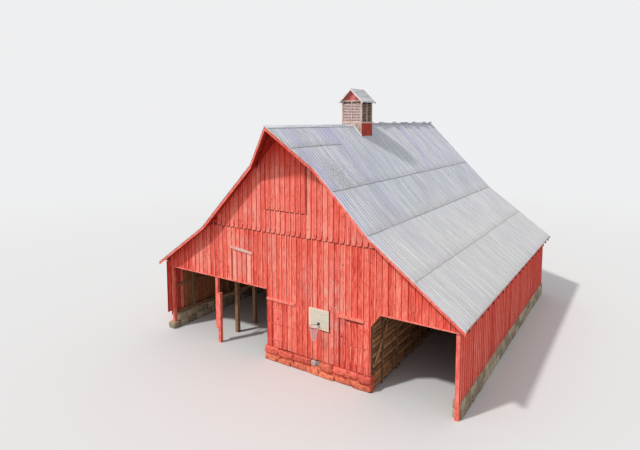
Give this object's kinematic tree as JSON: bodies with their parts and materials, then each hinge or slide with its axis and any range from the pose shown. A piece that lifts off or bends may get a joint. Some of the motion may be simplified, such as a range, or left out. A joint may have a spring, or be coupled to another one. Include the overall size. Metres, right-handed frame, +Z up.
{
  "type": "timber barn with open front bays",
  "caption": "Timber barn with flared gable roof, hay hood, open lean-to bays, two hinged doors, louvred cupola and a wall-mounted hoop.",
  "frame": {"origin": "middle of the overall box on the level floor; the ridge lies over x = 0", "axes": "+X to the right as seen from the front gable, +Y back along the ridge, +Z up"},
  "size_m": [17.9, 20.55, 14.006],
  "materials": {
    "red_siding": "weathered red paint on rough boards",
    "red_trim": "red paint, worn edges",
    "old_timber": "bare weathered timber",
    "roof_underside": "roof boards and rafters, dark red outside",
    "roof_metal": "weathered galvanised corrugated sheet",
    "stone": "fieldstone",
    "painted_stone": "fieldstone painted red",
    "cupola_trim": "worn pale paint",
    "louvre": "worn pale paint over grey wood",
    "iron": "dark iron",
    "backboard": "weathered off-white plywood",
    "rim": "rusty painted steel rod",
    "net": "white cord"
  },
  "bodies": {
    "root": {"plinth_front": "painted_stone", "foundation_left": "stone", "foundation_right": "stone", "foundation_back": "stone", "corner_stone": "stone", "frame_left": "old_timber", "frame_right": "old_timber", "frame_back": "old_timber", "frame_front": "old_timber", "siding_front": "red_siding", "siding_over_doors": "red_siding", "siding_beside_left_door": "red_siding", "siding_between_doors": "red_siding", "siding_beside_right_door": "red_siding", "gable_front": "red_siding", "siding_left": "red_siding", "siding_right": "red_siding", "siding_back": "red_siding", "gable_back": "red_siding", "hay_door": "red_siding", "loft_door": "red_siding", "door_headers": "red_trim", "hinge_pins": "iron", "lintel_left": "old_timber", "lintel_right": "old_timber", "corner_post_left": "red_trim", "corner_post_right": "red_trim", "bay_post_old": "red_trim", "bay_post_new": "red_trim", "post_line_left": "old_timber", "post_line_right": "old_timber", "nave_posts": "old_timber", "partition": "old_timber", "loft_beams": "old_timber", "loft_floor": "old_timber", "roof_frame_left": "roof_underside", "roof_frame_right": "roof_underside", "roof_left": "roof_metal", "roof_right": "roof_metal", "ridge_cap": "roof_metal", "rake_front": "red_trim", "rake_back": "red_trim", "hood_frame": "roof_underside", "cupola_base": "red_siding", "cupola_frame": "cupola_trim", "louvres_front": "louvre", "louvres_back": "louvre", "louvres_left": "louvre", "louvres_right": "louvre", "cupola_gables": "red_siding", "cupola_roof": "roof_metal", "backboard": "backboard", "hoop_rim": "rim", "hoop_net": "net"},
    "door_left": {"door_left": "red_siding"},
    "door_right": {"door_right": "red_siding"}
  },
  "joints": [
    {"name": "door_left_hinge", "type": "hinge", "parent": "root", "child": "door_left", "pos_m": [-1.04, -8.605, 1.955], "axis": [0, 0, -1], "range_deg": [0, 105]},
    {"name": "door_right_hinge", "type": "hinge", "parent": "root", "child": "door_right", "pos_m": [4.21, -8.605, 1.955], "axis": [0, 0, 1], "range_deg": [0, 105]}
  ]
}
